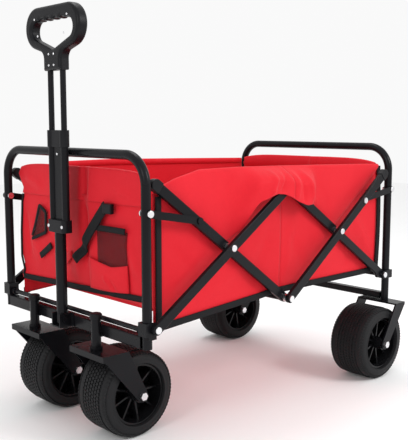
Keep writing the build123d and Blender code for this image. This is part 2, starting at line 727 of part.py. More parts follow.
# ---- twin-barrel sleeve, an extrusion, and the collar at its mouth ----
with BuildPart() as sleeve:
    with BuildSketch(Plane.XY.offset(lower_tube_top)):
        with Locations(*BARRELS):
            Circle(barrel / 2)
        with Locations((handle_x, 0)):
            Rectangle(barrel_web, barrel_spacing)
        with Locations(*BARRELS):
            Circle(barrel_bore / 2, mode=Mode.SUBTRACT)
    extrude(amount=barrel_top - lower_tube_top)
save(sleeve, "handle_sleeve")
with BuildPart() as collar:
    with BuildSketch(Plane.XY.offset(collar_low)):
        with Locations(*BARRELS):
            Circle(collar_d / 2)
        with Locations((handle_x, 0)):
            Rectangle(collar_d * 0.7, barrel_spacing)
    extrude(amount=collar_high - collar_low)
    with BuildSketch(Plane.XY.offset(collar_low)):
        with Locations(*BARRELS):
            Circle(barrel / 2 + seat)
        with Locations((handle_x, 0)):
            Rectangle(barrel_web + 2 * seat, barrel_spacing)
    extrude(amount=barrel_top - collar_low, mode=Mode.SUBTRACT)
    with BuildSketch(Plane.XY.offset(collar_low)):
        with Locations(*BARRELS):
            Circle(inner_tube / 2 + running)
    extrude(amount=collar_high - collar_low, mode=Mode.SUBTRACT)
save(collar, "handle_collar")

# ---- inner tubes and the grip's two half shells ----
tubes_top = grip_bottom + tube_in_grip
with BuildPart() as inner_tubes:
    with BuildSketch(Plane.XY.offset(inner_tube_bottom)):
        with Locations(*BARRELS):
            Circle(inner_tube / 2)
            Circle(inner_tube / 2 - inner_tube_wall, mode=Mode.SUBTRACT)
    extrude(amount=tubes_top - inner_tube_bottom)
save(inner_tubes, "handle_inner_tubes")

corner_y = grip_wide / 2 - grip_corner_r
corner_z = grip_top - grip_corner_r
ring_low_z = grip_neck_end + grip_low_r
hole_top = grip_top - grip_bar
hole_y = grip_wide / 2 - grip_side - hole_corner_r
for shell_name, toward in (("front", -1), ("back", 1)):
    with BuildPart() as shell:
        with BuildSketch(Plane(origin=(handle_x, 0, 0), x_dir=(0, 1, 0), z_dir=(1, 0, 0))):
            with Locations((-corner_y, corner_z), (corner_y, corner_z)):
                Circle(grip_corner_r)
            with Locations((0, ring_low_z)):
                Circle(grip_low_r)
            make_hull()
            with Locations((0, (grip_bottom + ring_low_z) / 2)):
                Rectangle(grip_neck, ring_low_z - grip_bottom)
            inward = vertices().filter_by_position(Axis.Y, grip_bottom + 10, ring_low_z + 10)
            fillet(inward, neck_round)
            with BuildSketch(mode=Mode.SUBTRACT):
                with Locations((-hole_y, hole_top - hole_corner_r), (hole_y, hole_top - hole_corner_r)):
                    Circle(hole_corner_r)
                with Locations((0, hole_low + hole_low_r)):
                    Circle(hole_low_r)
                make_hull()
            with Locations((0, hole_top + finger_deep - finger_r)):
                with GridLocations(finger_pitch, 1, 4, 1):
                    Circle(finger_r, mode=Mode.SUBTRACT)
        extrude(amount=toward * grip_deep / 2)
        outer_face_edges = shell.faces().sort_by(Axis.X)[0 if toward < 0 else -1].edges()
        fillet(outer_face_edges, grip_round)
        with BuildSketch(Plane.XY.offset(grip_bottom)):
            with Locations(*BARRELS):
                Circle(inner_tube / 2 + seat)
        extrude(amount=tube_in_grip + gap, mode=Mode.SUBTRACT)
    save(shell, f"grip_{shell_name}_shell")

# ---- fabric basket: two end panels, side walls and floor in a front and a rear half ----
panel_x = {"front": front_x + panel_in, "rear": rear_x - panel_in}
for end, toward in ENDS:
    x = panel_x[end]
    inside_x = x - toward * (fabric + sew)
    half_long = abs(centre_x - inside_x) - sew / 2
    mid = (inside_x + centre_x) / 2 + toward * sew / 4
    with BuildPart() as panel:
        with BuildSketch(Plane.XY.offset(basket_bottom)):
            with Locations((x - toward * fabric / 2, 0)):
                Rectangle(fabric, 2 * basket_half)
        extrude(amount=basket_top - basket_bottom)
    save(panel, f"basket_{end}_panel")
    with BuildPart() as walls:
        with BuildSketch(Plane.XY.offset(basket_bottom)):
            for side in (-1, 1):
                with Locations((mid, side * (basket_half - fabric / 2))):
                    Rectangle(half_long, fabric)
        extrude(amount=basket_top - basket_bottom)
    save(walls, f"basket_{end}_side_walls")
    with BuildPart() as floor:
        with BuildSketch(Plane.XY.offset(basket_bottom)):
            with Locations((mid, 0)):
                Rectangle(half_long, 2 * (basket_half - fabric - sew))
        extrude(amount=floor_thick)
    save(floor, f"basket_{end}_floor")

# ---- fabric flaps that go out over the top pivots from the side walls' rims ----
with BuildPart() as flaps:
    for side in (-1, 1):
        flap_inside = leg_y + flap_out
        with BuildSketch(Plane.XY.offset(flap_low)):
            with Locations((centre_x, side * (flap_inside + fabric / 2))):
                Rectangle(2 * flap_half, fabric)
        extrude(amount=basket_top - flap_low)
        with BuildSketch(Plane.XY.offset(basket_top - fabric)):
            with Locations((centre_x, side * (basket_half + sew + flap_inside) / 2)):
                Rectangle(2 * flap_half, flap_inside - basket_half - sew)
        extrude(amount=fabric)
save(flaps, "top_pivot_flaps")
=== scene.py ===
"""Folding camp wagon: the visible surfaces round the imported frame, in metres.

X runs from the front, where the handle is, to the rear, Y across and Z up. The left side is -Y.
"""

import json
from math import cos, hypot, pi, radians, sin, tan

import bmesh
import bpy
import numpy as np
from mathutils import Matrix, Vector


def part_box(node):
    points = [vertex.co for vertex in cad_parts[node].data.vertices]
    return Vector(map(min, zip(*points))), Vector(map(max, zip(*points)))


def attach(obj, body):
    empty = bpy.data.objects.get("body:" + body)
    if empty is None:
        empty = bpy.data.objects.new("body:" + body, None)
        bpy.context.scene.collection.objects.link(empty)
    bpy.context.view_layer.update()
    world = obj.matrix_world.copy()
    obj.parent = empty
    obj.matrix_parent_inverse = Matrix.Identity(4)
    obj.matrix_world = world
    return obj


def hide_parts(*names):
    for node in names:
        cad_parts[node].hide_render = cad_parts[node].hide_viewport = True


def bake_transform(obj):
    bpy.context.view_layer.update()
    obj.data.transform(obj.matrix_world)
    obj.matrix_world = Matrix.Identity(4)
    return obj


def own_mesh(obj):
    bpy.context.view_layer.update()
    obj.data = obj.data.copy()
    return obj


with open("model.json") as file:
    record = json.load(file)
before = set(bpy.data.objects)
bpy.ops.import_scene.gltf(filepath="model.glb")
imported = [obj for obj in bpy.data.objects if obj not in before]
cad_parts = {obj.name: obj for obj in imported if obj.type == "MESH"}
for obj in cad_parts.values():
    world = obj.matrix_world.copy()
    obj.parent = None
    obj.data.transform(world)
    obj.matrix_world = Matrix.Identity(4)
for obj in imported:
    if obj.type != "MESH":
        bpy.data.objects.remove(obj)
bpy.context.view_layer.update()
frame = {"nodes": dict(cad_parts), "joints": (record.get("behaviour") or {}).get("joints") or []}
hinge = {joint["name"]: joint["pos_m"] for joint in frame["joints"] if "pos_m" in joint}

# ---- studio: camera, white surroundings and soft lights ----
camera = bpy.data.objects.new("camera", bpy.data.cameras.new("camera"))
camera.location = (-1.2590, -1.3359, 0.6343)
camera.rotation_euler = (radians(82.85), 0, radians(-43.34))
camera.data.lens = 62.3
bpy.context.collection.objects.link(camera)
bpy.context.scene.camera = camera
bpy.context.scene.view_settings.view_transform = "Standard"

world = bpy.data.worlds.new("studio")
world.use_nodes = True
world.node_tree.nodes["Background"].inputs["Color"].default_value = (1, 1, 1, 1)
world.node_tree.nodes["Background"].inputs["Strength"].default_value = 0.95
bpy.context.scene.world = world


def soft_light(name, place, aim, width, power):
    """A square area light at place that faces aim."""
    lamp = bpy.data.lights.new(name, "AREA")
    lamp.size, lamp.energy = width, power
    lit = bpy.data.objects.new(name, lamp)
    lit.location = place
    lit.rotation_euler = (Vector(aim) - Vector(place)).to_track_quat("-Z", "Y").to_euler()
    bpy.context.collection.objects.link(lit)


soft_light("key", (0.9, -2.4, 1.9), (0, 0, 0.35), 0.9, 34)
soft_light("front_fill", (-2.4, -0.9, 1.5), (0, 0, 0.35), 0.7, 10)
soft_light("top", (0.1, 0.5, 2.6), (0, 0, 0.3), 1.0, 14)

# ---- steel frame: bent tubes, flat bars, forks and handle tubes ----
# Welded mild steel in gloss black powder coat, sprayed and baked, which leaves a faint orange peel.


class Wire:
    """A node socket that works in arithmetic, where each operation adds a Math node."""

    def __init__(self, socket):
        self.socket = socket

    def math(self, operation, *others):
        values = dict(enumerate([self, *others]))
        made = add_node(self.socket.id_data, "ShaderNodeMath", {"operation": operation}, values)
        return made.out("Value")

    def __add__(self, other):
        return self.math("ADD", other)

    def __sub__(self, other):
        return self.math("SUBTRACT", other)

    def __mul__(self, other):
        return self.math("MULTIPLY", other)

    def __rsub__(self, other):
        return self.math("MULTIPLY", -1.0).math("ADD", other)

    __radd__ = __add__
    __rmul__ = __mul__


class Made:
    """A node just made; out gives one of its outputs as a Wire."""

    def __init__(self, node):
        self.node = node

    def out(self, name):
        return Wire(self.node.outputs[name])


def add_node(tree, kind, settings=None, sockets=None):
    """One node of any kind, with its settings and then the values or links of its inputs."""
    node = tree.nodes.new(kind)
    for name, value in (settings or {}).items():
        if name == "stops":
            for stop, (place, colour) in zip(node.color_ramp.elements, value):
                stop.position, stop.color = place, colour
        else:
            setattr(node, name, value)
    for name, value in (sockets or {}).items():
        if isinstance(value, Wire):
            tree.links.new(value.socket, node.inputs[name])
        elif value is not None:
            node.inputs[name].default_value = value
    return Made(node)


def finish_of(name, colour, roughness, **constants):
    """A material and its tree; constants are set on the shader's own sockets."""
    material = bpy.data.materials.new(name)
    material.use_nodes = True
    shader = material.node_tree.nodes["Principled BSDF"]
    shader.inputs["Base Color"].default_value = (*colour, 1)
    shader.inputs["Roughness"].default_value = roughness
    for socket, value in constants.items():
        label = socket.replace("_", " ").title().replace("Specular", "Specular IOR")
        shader.inputs[label].default_value = value
    material.diffuse_color = (*colour, 1)
    return material, material.node_tree, shader


def surface_noise(tree, scale, detail=3.0):
    """Noise on the object's own coordinates, as a factor from 0 to 1."""
    place = add_node(tree, "ShaderNodeTexCoord").out("Object")
    values = {"Vector": place, "Scale": scale, "Detail": detail}
    return add_node(tree, "ShaderNodeTexNoise", None, values).out("Fac")


def mixed(tree, factor, first, second):
    """A colour between first and second."""
    values = {0: factor, 6: (*first, 1), 7: (*second, 1)}
    return add_node(tree, "ShaderNodeMix", {"data_type": "RGBA"}, values).out(2)


def link(tree, wire, shader, name):
    """A wire into one of the shader's sockets."""
    tree.links.new(wire.socket, shader.inputs[name])


def bumped(tree, shader, height, strength, distance):
    """A bump from a height, into the shader's normal."""
    bump = add_node(
        tree, "ShaderNodeBump", None, {"Height": height, "Strength": strength, "Distance": distance}
    )
    link(tree, bump.out("Normal"), shader, "Normal")


powder_coat, tree, shader = finish_of("powder_coat", (0.006, 0.006, 0.007), 0.24, specular_level=0.13)
patches = surface_noise(tree, 9.0)
link(tree, patches * 0.14 + 0.2, shader, "Roughness")
link(tree, mixed(tree, patches, (0.004, 0.004, 0.005), (0.009, 0.009, 0.011)), shader, "Base Color")
bumped(tree, shader, surface_noise(tree, 520.0, 2.0), 0.18, 0.0004)

steel_nodes = """front_frame_tube rear_frame_tube front_crossbar rear_crossbar front_floor_rod rear_floor_rod
front_pivot_brackets rear_pivot_brackets caster_posts rear_forks handle_bracket left_caster_fork
right_caster_fork left_front_outer_bar right_front_outer_bar left_front_inner_bar right_front_inner_bar
left_rear_outer_bar right_rear_outer_bar left_rear_inner_bar right_rear_inner_bar centre_cross_tube
front_links rear_links handle_lower_tube handle_sleeve handle_inner_tubes handle_pivot_bolt
caster_washers""".split()


def paint(names, material):
    """The same finish on each of these nodes."""
    for name in names:
        mesh = frame["nodes"][name].data
        mesh.materials.clear()
        mesh.materials.append(material)


paint(steel_nodes, powder_coat)

# ---- pivot pins, rivets and axles: turned steel, plated bright zinc ----
# The heads are left bare and stand out from the black frame; handling dulls them in patches.
bright_zinc, tree, shader = finish_of("bright_zinc", (0.74, 0.74, 0.76), 0.25, metallic=1.0)
dulling = surface_noise(tree, 60.0)
link(tree, dulling * 0.25 + 0.16, shader, "Roughness")
link(tree, mixed(tree, dulling, (0.62, 0.62, 0.64), (0.86, 0.86, 0.87)), shader, "Base Color")
bumped(tree, shader, surface_noise(tree, 900.0, 2.0), 0.15, 0.0002)
zinc_nodes = """front_frame_pins rear_frame_pins front_bar_pins rear_bar_pins centre_bolts top_pivot_pins
left_caster_axle right_caster_axle rear_axles""".split()
paint(zinc_nodes, bright_zinc)

# ---- moulded plastic: post caps, bar caps, clamp, collar and the grip's two shells ----
# Black and satin, with the fine grain that a spark-eroded mould leaves.
satin_plastic, tree, shader = finish_of("satin_plastic", (0.006, 0.006, 0.008), 0.36, specular_level=0.15)
handled = surface_noise(tree, 26.0)
link(tree, handled * 0.16 + 0.3, shader, "Roughness")
link(tree, mixed(tree, handled, (0.004, 0.004, 0.005), (0.010, 0.010, 0.012)), shader, "Base Color")
bumped(tree, shader, surface_noise(tree, 1500.0, 2.0), 0.35, 0.0003)
paint(["caster_caps", "front_bar_caps", "rear_bar_caps", "handle_clamp", "handle_collar"], satin_plastic)
paint(["grip_front_shell", "grip_back_shell"], satin_plastic)

# ---- rims: one moulding each, gloss black polypropylene ----
# Thin ribs run from the hub to the rim on both sides of a disc, and get scuffed in use.
gloss_plastic, tree, shader = finish_of("gloss_plastic", (0.006, 0.006, 0.007), 0.2, specular_level=0.2)
scuffs = surface_noise(tree, 34.0)
link(tree, scuffs * 0.2 + 0.14, shader, "Roughness")
link(tree, mixed(tree, scuffs, (0.004, 0.004, 0.005), (0.009, 0.009, 0.010)), shader, "Base Color")
bumped(tree, shader, surface_noise(tree, 240.0, 2.0), 0.1, 0.0003)
wheels = [f"{side}_{end}" for side in ("left", "right") for end in ("front", "rear")]
paint([f"{wheel}_rim" for wheel in wheels], gloss_plastic)

# ---- tyres: moulded rubber, wide, with round shoulders ----
# The tread is rows of small slanted blocks, each row half a pitch on from the last, over the shoulders too.
tread_deep = 0.0022
tread_rows = 11
blocks_round = 72
tyre_rubber, tree, shader = finish_of("tyre_rubber", (0.010, 0.010, 0.011), 0.6, specular_level=0.18)
dust = surface_noise(tree, 21.0, 5.0)
link(tree, dust * 0.3 + 0.42, shader, "Roughness")
link(tree, mixed(tree, dust, (0.006, 0.006, 0.007), (0.016, 0.016, 0.017)), shader, "Base Color")
bumped(tree, shader, surface_noise(tree, 700.0, 3.0), 0.4, 0.0004)


def plain_mesh(obj):
    """The evaluated object as a plain mesh, with no modifier left."""
    bpy.context.view_layer.update()
    evaluated = obj.evaluated_get(bpy.context.evaluated_depsgraph_get())
    mesh = bpy.data.meshes.new_from_object(evaluated)
    obj.modifiers.clear()
    obj.data = mesh
    mesh.name = obj.name
    return obj


def new_object(name, vertices, faces, material):
    """An object at the origin from points and faces, smooth."""
    mesh = bpy.data.meshes.new(name)
    mesh.from_pydata([tuple(point) for point in vertices], [], faces)
    mesh.materials.append(material)
    mesh.shade_smooth()
    obj = bpy.data.objects.new(name, mesh)
    bpy.context.collection.objects.link(obj)
    return obj


def lathe(name, profile, centre, steps, material):
    """A closed ring turned about a line along Y through centre, from (y, radius) points in order."""
    points = [
        (
            centre[0] + radius * sin(2 * pi * turn / steps),
            centre[1] + y,
            centre[2] + radius * cos(2 * pi * turn / steps),
        )
        for turn in range(steps)
        for y, radius in profile
    ]
    count = len(profile)
    faces = [
        (turn * count + k, turn * count + (k + 1) % count,
         (turn + 1) % steps * count + (k + 1) % count, (turn + 1) % steps * count + k)
        for turn in range(steps)
        for k in range(count)
    ]
    obj = new_object(name, points, faces, material)
    outward(obj)
    return obj


def outward(obj):
    """Faces of a closed mesh point out."""
    work = bmesh.new()
    work.from_mesh(obj.data)
    bmesh.ops.remove_doubles(work, verts=work.verts, dist=1e-6)
    bmesh.ops.recalc_face_normals(work, faces=work.faces)
    work.to_mesh(obj.data)
    work.free()


def tread_tree():
    """Blocks round a wheel: one row per turn of the crown, each block slanted and set half a pitch on."""
    tree = bpy.data.node_groups.new("tread", "GeometryNodeTree")
    face = tree.interface
    face.new_socket("Geometry", in_out="OUTPUT", socket_type="NodeSocketGeometry")
    for name, kind in (("Radius", "Float"), ("Row Y", "Float"), ("Tilt", "Float"), ("Slant", "Float"),
                       ("Start", "Float"), ("Blocks", "Int"), ("Block Size", "Vector"), ("Centre", "Vector"),
                       ("Rubber", "Material")):
        face.new_socket(name, in_out="INPUT", socket_type=f"NodeSocket{kind}")
    given = add_node(tree, "NodeGroupInput")
    ring = add_node(tree, "GeometryNodeMeshLine", None, {"Count": given.out("Blocks"), "Offset": (0, 0, 0)})
    index = add_node(tree, "GeometryNodeInputIndex").out("Index")
    turn = index.math("DIVIDE", given.out("Blocks")) * (2 * pi) + given.out("Start")
    spot = add_node(tree, "ShaderNodeCombineXYZ", None, {
        "X": turn.math("SINE") * given.out("Radius"),
        "Y": given.out("Row Y"),
        "Z": turn.math("COSINE") * given.out("Radius"),
    })
    moved = add_node(tree, "GeometryNodeSetPosition", None, {
        "Geometry": ring.out("Mesh"), "Position": spot.out("Vector")
    })
    block = add_node(tree, "GeometryNodeMeshCube", None, {"Size": given.out("Block Size")})
    first = add_node(tree, "ShaderNodeCombineXYZ", None, {"X": given.out("Tilt"), "Z": given.out("Slant")})
    second = add_node(tree, "ShaderNodeCombineXYZ", None, {"Y": turn})
    facing = add_node(tree, "FunctionNodeEulerToRotation", None, {0: first.out("Vector")})
    round_it = add_node(tree, "FunctionNodeEulerToRotation", None, {0: second.out("Vector")})
    both = add_node(tree, "FunctionNodeRotateRotation", {"rotation_space": "GLOBAL"}, {
        "Rotation": facing.out("Rotation"), "Rotate By": round_it.out("Rotation")
    })
    placed = add_node(tree, "GeometryNodeInstanceOnPoints", None, {
        "Points": moved.out("Geometry"), "Instance": block.out("Mesh"), "Rotation": both.out("Rotation")
    })
    real = add_node(tree, "GeometryNodeRealizeInstances", None, {"Geometry": placed.out("Instances")})
    shift = add_node(tree, "GeometryNodeTransform", None, {
        "Geometry": real.out("Geometry"), "Translation": given.out("Centre")
    })
    coated = add_node(tree, "GeometryNodeSetMaterial", None, {
        "Geometry": shift.out("Geometry"), "Material": given.out("Rubber")
    })
    add_node(tree, "NodeGroupOutput", None, {"Geometry": coated.out("Geometry")})
    return tree


def grown(name, tree, values, material, points=((0, 0, 0),)):
    """A piece grown from points by a node tree with these named inputs, as a plain mesh."""
    obj = new_object(name, points, [], material)
    grow = obj.modifiers.new("grow", "NODES")
    grow.node_group = tree
    for item in tree.interface.items_tree:
        if item.in_out == "INPUT" and item.name in values:
            grow[item.identifier] = values[item.name]
    return plain_mesh(obj)


def joined(name, objects):
    """One object of several, with their materials."""
    whole = objects[0]
    chosen = {"active_object": whole, "selected_editable_objects": objects, "selected_objects": objects}
    with bpy.context.temp_override(**chosen):
        bpy.ops.object.join()
    whole.name = whole.data.name = name
    return whole


tread = tread_tree()
for wheel in wheels:
    low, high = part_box(f"{wheel}_tyre")
    middle = [(a + b) / 2 for a, b in zip(low, high)]
    outer, half = (high[2] - low[2]) / 2, (high[1] - low[1]) / 2
    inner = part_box(f"{wheel}_rim")[1][2] - middle[2] + 0.0005
    round_r = 0.016
    base = outer - tread_deep
    shoulder = [
        (half - round_r + (round_r - 0.001) * sin(a), base - round_r + round_r * cos(a))
        for a in np.linspace(0, pi / 2, 7)
    ]
    wall = [(half - 0.001, base - 0.020), (half + 0.0005, base - 0.0225), (half - 0.001, inner + 0.001)]
    half_profile = [(0.0, base)] + shoulder + wall
    left_profile = [(-y, radius) for y, radius in reversed(half_profile)]
    tyre = lathe(f"{wheel}_tyre_skin", half_profile[1:] + left_profile[:-1], middle, 108, tyre_rubber)
    rows = []
    for row in range(tread_rows):
        across = -1 + 2 * row / (tread_rows - 1)
        crown = half - round_r
        if abs(across) < 0.8:
            row_y, radius, tilt = across * crown / 0.8, base, 0.0
        else:
            tilt = 0.62 * (1 if across > 0 else -1)
            row_y = (crown + round_r * sin(abs(tilt)) - 0.001) * (1 if across > 0 else -1)
            radius = base - round_r + round_r * cos(tilt)
        rows.append(grown(f"{wheel}_tread_{row}", tread, {
            "Radius": radius, "Row Y": row_y, "Tilt": -tilt, "Slant": 0.5 * (-1) ** row,
            "Start": pi / blocks_round * (row % 2), "Blocks": blocks_round,
            "Block Size": (0.0061, 0.0062, 2 * tread_deep - 0.0002), "Centre": middle, "Rubber": tyre_rubber,
        }, tyre_rubber))
    tyre = joined(f"{wheel}_tyre_skin", [tyre, *rows])
    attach(tyre, f"{wheel}_wheel")
    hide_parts(f"{wheel}_tyre")

# ---- red cloth: coated polyester in a plain weave, for the whole basket ----
# Fine threads cross at right angles, and the dye is a little uneven.
red_cloth, tree, shader = finish_of(
    "red_cloth", (0.62, 0.008, 0.018), 0.62, sheen_weight=0.06, sheen_roughness=0.4, specular_level=0.2
)
woven = add_node(tree, "ShaderNodeUVMap").out("UV")
threads = add_node(tree, "ShaderNodeSeparateXYZ", None, {0: woven})
warp = (threads.out("X") * 5200.0).math("SINE")
weft = (threads.out("Y") * 5200.0).math("SINE")
weave = warp * weft * 0.5 + 0.5
mottle = surface_noise(tree, 7.0, 4.0)
fine = surface_noise(tree, 130.0, 3.0)
tone = mottle * 0.55 + fine * 0.25 + weave * 0.2
link(tree, mixed(tree, tone, (0.53, 0.003, 0.010), (0.74, 0.014, 0.028)), shader, "Base Color")
link(tree, 0.78 - weave * 0.16 - mottle * 0.1, shader, "Roughness")
bumped(tree, shader, weave * 0.35 + fine * 0.65, 0.35, 0.0006)

# ---- black webbing: ribbed polypropylene tape, 6 to 22 mm wide ----
# It is woven flat, and used as binding over raw edges and as pocket straps.
webbing, tree, shader = finish_of("webbing", (0.006, 0.006, 0.007), 0.7, specular_level=0.2)
tape = add_node(tree, "ShaderNodeSeparateXYZ", None, {0: add_node(tree, "ShaderNodeUVMap").out("UV")})
ribs = (tape.out("X") * 3600.0).math("SINE") * 0.5 + 0.5
fuzz = surface_noise(tree, 300.0, 3.0)
worn = mixed(tree, fuzz * 0.6 + ribs * 0.4, (0.003, 0.003, 0.004), (0.012, 0.012, 0.013))
link(tree, worn, shader, "Base Color")
link(tree, 0.85 - ribs * 0.2, shader, "Roughness")
bumped(tree, shader, ribs * 0.6 + fuzz * 0.4, 0.5, 0.0005)

# ---- basket side walls: one sheet inside the bars on each side, in a front and a rear half ----
# The wall hangs from the rim and is sewn to the floor's edge, which drops a little towards the front.
cloth_thick = 0.0012
wall_y = 0.2385
front_low, front_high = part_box("basket_front_side_walls")
rear_low, rear_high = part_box("basket_rear_side_walls")
front_edge, rear_edge = front_low[0], rear_high[0]
middle_x = (front_high[0] + rear_low[0]) / 2
rise = radians(33.544)  # slope of the outer bars
fall = radians(36.302)  # slope of the inner bars


def smooth(x, start, end):
    """A smooth step from 0 at start to 1 at end."""
    t = np.clip((np.asarray(x, float) - start) / (end - start), 0, 1)
    return t * t * (3 - 2 * t)


def rim_z(x):
    """The rim's height: level along the bars, and down to the bar's end at the front corner."""
    return np.interp(x, (-0.360, -0.345, -0.301, -0.236, -0.12, 0.0, 0.14, 0.385),
                     (0.5085, 0.5130, 0.5290, 0.5440, 0.5450, 0.5430, 0.5400, 0.5340))


def hem_low_z(x):
    """The lower edge of the walls, over the cross tube at the middle."""
    return np.interp(x, (-0.358, -0.06, -0.02, 0.03, 0.38), (0.2400, 0.2600, 0.2640, 0.2640, 0.2625))


def panel_outline(z):
    """Half the end panels' width: it waists under the cuff and again near the floor."""
    return np.interp(z, (0.262, 0.275, 0.300, 0.330, 0.390, 0.460, 0.492, 0.508, 0.530, 0.548),
                     (0.238, 0.238, 0.226, 0.2375, 0.2360, 0.2290, 0.2170, 0.2280, 0.2375, 0.2260))


def pulled_in(x, z, side):
    """How far the far wall's front edge is drawn in to the front panel's edge."""
    return (side > 0) * (wall_y - panel_outline(z)) * (1 - smooth(x, front_edge, front_edge + 0.055))


def crease(x, z, start, end, high, wide):
    """A soft ridge along a line from start to end, fading at both ends."""
    ax, az = start
    bx, bz = end
    long = hypot(bx - ax, bz - az)
    along = ((x - ax) * (bx - ax) + (z - az) * (bz - az)) / long
    apart = ((x - ax) * (az - bz) + (z - az) * (bx - ax)) / long
    inside = smooth(along, 0, 0.35 * long) * (1 - smooth(along, 0.65 * long, long))
    return high * inside * np.exp(-((apart / wide) ** 2))


def cloth_sheet(name, grid, material, thick=cloth_thick, closed=False):
    """A sheet from a grid of points, with its flat lengths as UVs and a thickness both ways."""
    rows, columns, _ = grid.shape
    across = np.linalg.norm(np.diff(grid, axis=1), axis=2).mean(axis=0)
    along = np.linalg.norm(np.diff(grid, axis=0), axis=2).mean(axis=1)
    u = np.concatenate([[0], np.cumsum(across)])
    v = np.concatenate([[0], np.cumsum(along)])
    faces = [
        (r * columns + c, r * columns + c + 1, (r + 1) * columns + c + 1, (r + 1) * columns + c)
        for r in range(rows - 1)
        for c in range(columns - 1)
    ]
    obj = new_object(name, grid.reshape(-1, 3), faces, material)
    layer = obj.data.uv_layers.new(name="UVMap")
    for loop in obj.data.loops:
        r, c = divmod(loop.vertex_index, columns)
        layer.data[loop.index].uv = (u[c], v[r])
    wall = obj.modifiers.new("thickness", "SOLIDIFY")
    wall.thickness, wall.offset = thick, 0
    return plain_mesh(obj)


wall_creases = [
    ((-0.34, 0.30), (-0.20, 0.40), 0.004, 0.016),
    ((-0.33, 0.42), (-0.24, 0.33), -0.003, 0.012),
    ((-0.26, 0.27), (-0.08, 0.36), 0.003, 0.014),
    ((-0.10, 0.27), (-0.02, 0.42), -0.003, 0.016),
    ((0.02, 0.28), (0.05, 0.45), 0.003, 0.012),
    ((0.10, 0.30), (0.03, 0.40), -0.003, 0.014),
    ((0.12, 0.42), (0.18, 0.30), 0.003, 0.014),
    ((0.22, 0.28), (0.33, 0.37), -0.003, 0.016),
    ((0.26, 0.44), (0.36, 0.31), 0.003, 0.012),
]


def wall_depth(x, z):
    """How far the wall stands from its plane: a slight belly, and soft creases."""
    up_the_wall = np.clip((z - 0.26) / 0.28, 0, 1)
    along_it = np.clip((x + 0.36) / 0.74, 0, 1)
    belly = 0.0035 * np.sin(pi * up_the_wall) * np.sin(pi * along_it)
    folds = sum(crease(x, z, *one) for one in wall_creases)
    return np.clip(belly + folds, -0.006, 0.0055)


def side_wall(x_from, x_to, side, count):
    """One side's wall between two places, from its hem to just under the rim."""
    xs = np.linspace(x_from, x_to, count)
    share = np.linspace(0, 1, 42)
    x = np.tile(xs, (len(share), 1))
    z = hem_low_z(x) + share[:, None] * (rim_z(x) - 0.004 - hem_low_z(x))
    y = side * (wall_y - 0.0005 + wall_depth(x, z) * (0.2 + 0.8 * np.sin(pi * share[:, None]) ** 0.5))
    y = y - side * pulled_in(x, z, side)
    return np.stack([x, y, z], axis=2)


folded_front, folded_rear = 0.25, 0.275
for end, x_from, x_to, body, anchor, keep in (
    ("front", front_edge, middle_x, "front_frame", front_edge, folded_front),
    ("rear", middle_x, rear_edge, "rear_frame", rear_edge, folded_rear),
):
    halves = []
    for side_name, side in (("left", -1), ("right", 1)):
        grid = side_wall(x_from, x_to, side, 64)
        halves.append(cloth_sheet(f"{side_name}_{end}_wall_cloth", grid, red_cloth))
    walls = joined(f"{end}_side_wall_cloths", halves)
    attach(walls, body)
    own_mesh(walls)
    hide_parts(f"basket_{end}_side_walls")

# ---- upper band: the walls' outer layer, drawn out over the top pivots, with an arched hem ----
# It lies behind the bars near the corners, comes out above them, and hides both bars' upper ends.
bar_lines = {
    "front_inner": (middle_x, hinge["fold_centre"][2], -tan(fall)),
    "front_outer": (hinge["fold"][0], hinge["fold"][2], tan(rise)),
    "rear_inner": (hinge["fold_rear_frame"][0], hinge["fold_rear_frame"][2], -tan(rise)),
    "rear_outer": (middle_x, hinge["fold_centre"][2], tan(fall)),
}


def bar_z(name, x):
    """The height of a bar's centre line."""
    start_x, start_z, slope = bar_lines[name]
    return start_z + (x - start_x) * slope


def arch_z(x):
    """The arched hem over the top pivot."""
    return np.interp(x, (-0.085, -0.069, -0.050, -0.028, -0.005, 0.022, 0.050, 0.078, 0.095),
                     (0.478, 0.4845, 0.4890, 0.4872, 0.4800, 0.4670, 0.4580, 0.4590, 0.4620))


def band_low_z(x):
    """The upper band's lower edge: behind the bars, then above them, then the arch."""
    front = np.maximum(bar_z("front_inner", x), bar_z("front_outer", x))
    rear = np.maximum(bar_z("rear_inner", x), bar_z("rear_outer", x))
    rear = rear + 0.017 * (1 - smooth(x, 0.150, 0.180))
    out_front = smooth(x, -0.135, -0.085)
    out_rear = 1 - smooth(x, 0.070, 0.120)
    front = front + out_front * (arch_z(x) - front)
    rear = rear + out_rear * (arch_z(x) - rear)
    low = np.where(x < middle_x, front, rear)
    return np.minimum(low, rim_z(x) - 0.002)


band_creases = [
    ((-0.075, 0.47), (-0.045, 0.545), 0.0050, 0.007),
    ((-0.040, 0.48), (-0.005, 0.540), -0.0045, 0.007),
    ((-0.150, 0.42), (-0.085, 0.540), 0.0050, 0.012),
    ((-0.250, 0.46), (-0.150, 0.500), 0.0030, 0.016),
    ((-0.200, 0.43), (-0.130, 0.545), -0.0040, 0.013),
    ((0.015, 0.46), (0.020, 0.545), 0.0040, 0.006),
    ((0.045, 0.45), (0.035, 0.540), -0.0040, 0.006),
    ((0.080, 0.45), (0.050, 0.545), 0.0050, 0.008),
    ((0.150, 0.43), (0.060, 0.530), 0.0045, 0.009),
    ((0.190, 0.42), (0.110, 0.530), -0.0035, 0.012),
    ((0.250, 0.47), (0.150, 0.510), 0.0035, 0.014),
]


